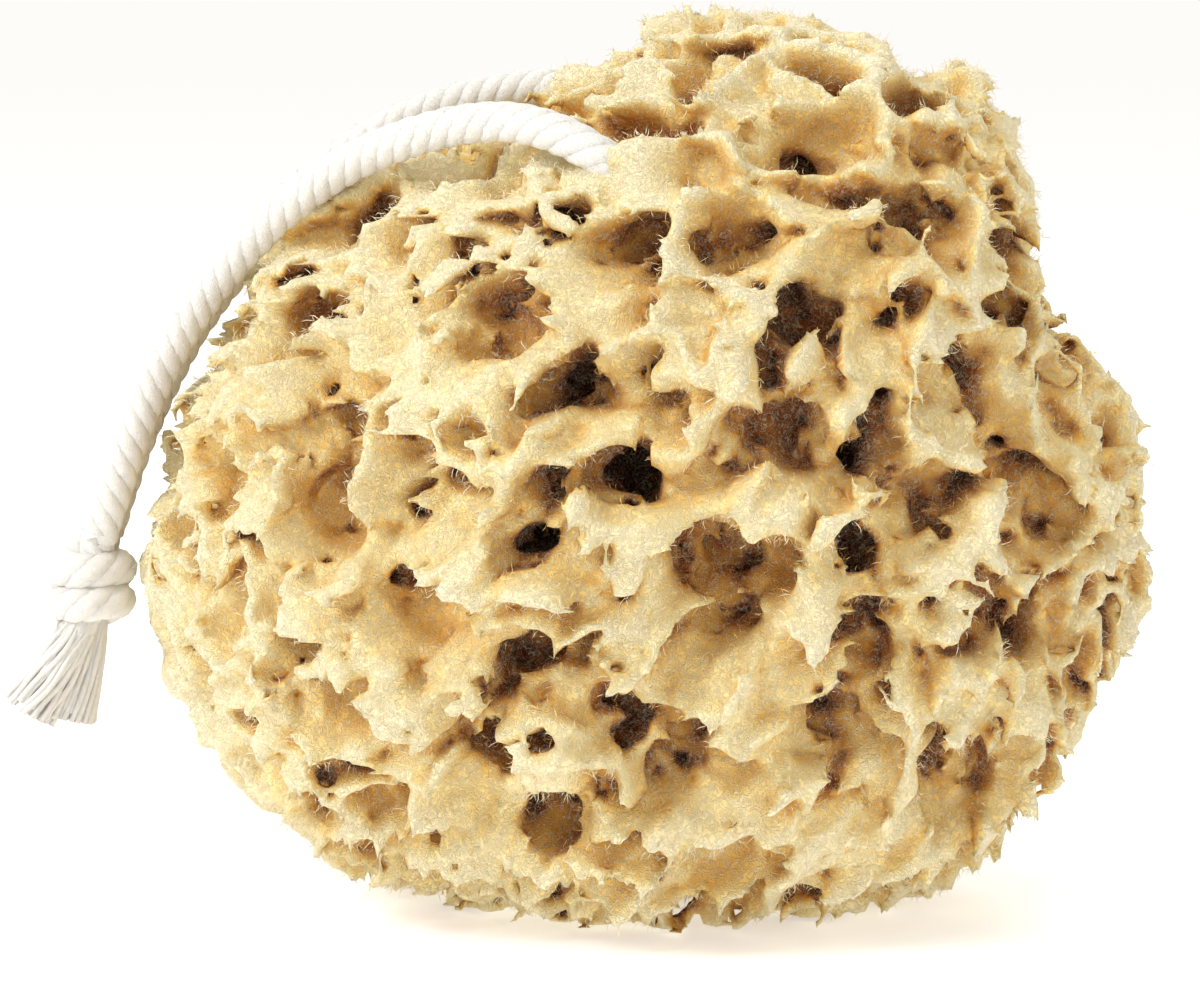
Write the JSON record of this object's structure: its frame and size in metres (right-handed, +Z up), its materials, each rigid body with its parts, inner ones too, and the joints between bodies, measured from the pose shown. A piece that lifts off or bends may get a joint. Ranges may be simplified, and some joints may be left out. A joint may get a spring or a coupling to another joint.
{
  "type": "sea sponge",
  "caption": "Natural honeycomb bath sponge with deep pores and torn fuzzy ridges, cut flat at its foot, on a loop of white twisted cotton cord tied in a knot.",
  "frame": {"origin": "under the middle of the sponge, on the surface it rests on", "axes": "+Z up, -Y towards the front, +X to the right, the cord hangs at -X"},
  "size_m": [0.1585, 0.1178, 0.1274],
  "materials": {
    "sponge_fibre": "matte, fuzzy",
    "cotton_cord": "matte, twisted"
  },
  "bodies": {
    "root": {"sponge": "sponge_fibre", "rope_front": "cotton_cord", "rope_back": "cotton_cord", "rope_knot": "cotton_cord"}
  },
  "joints": []
}
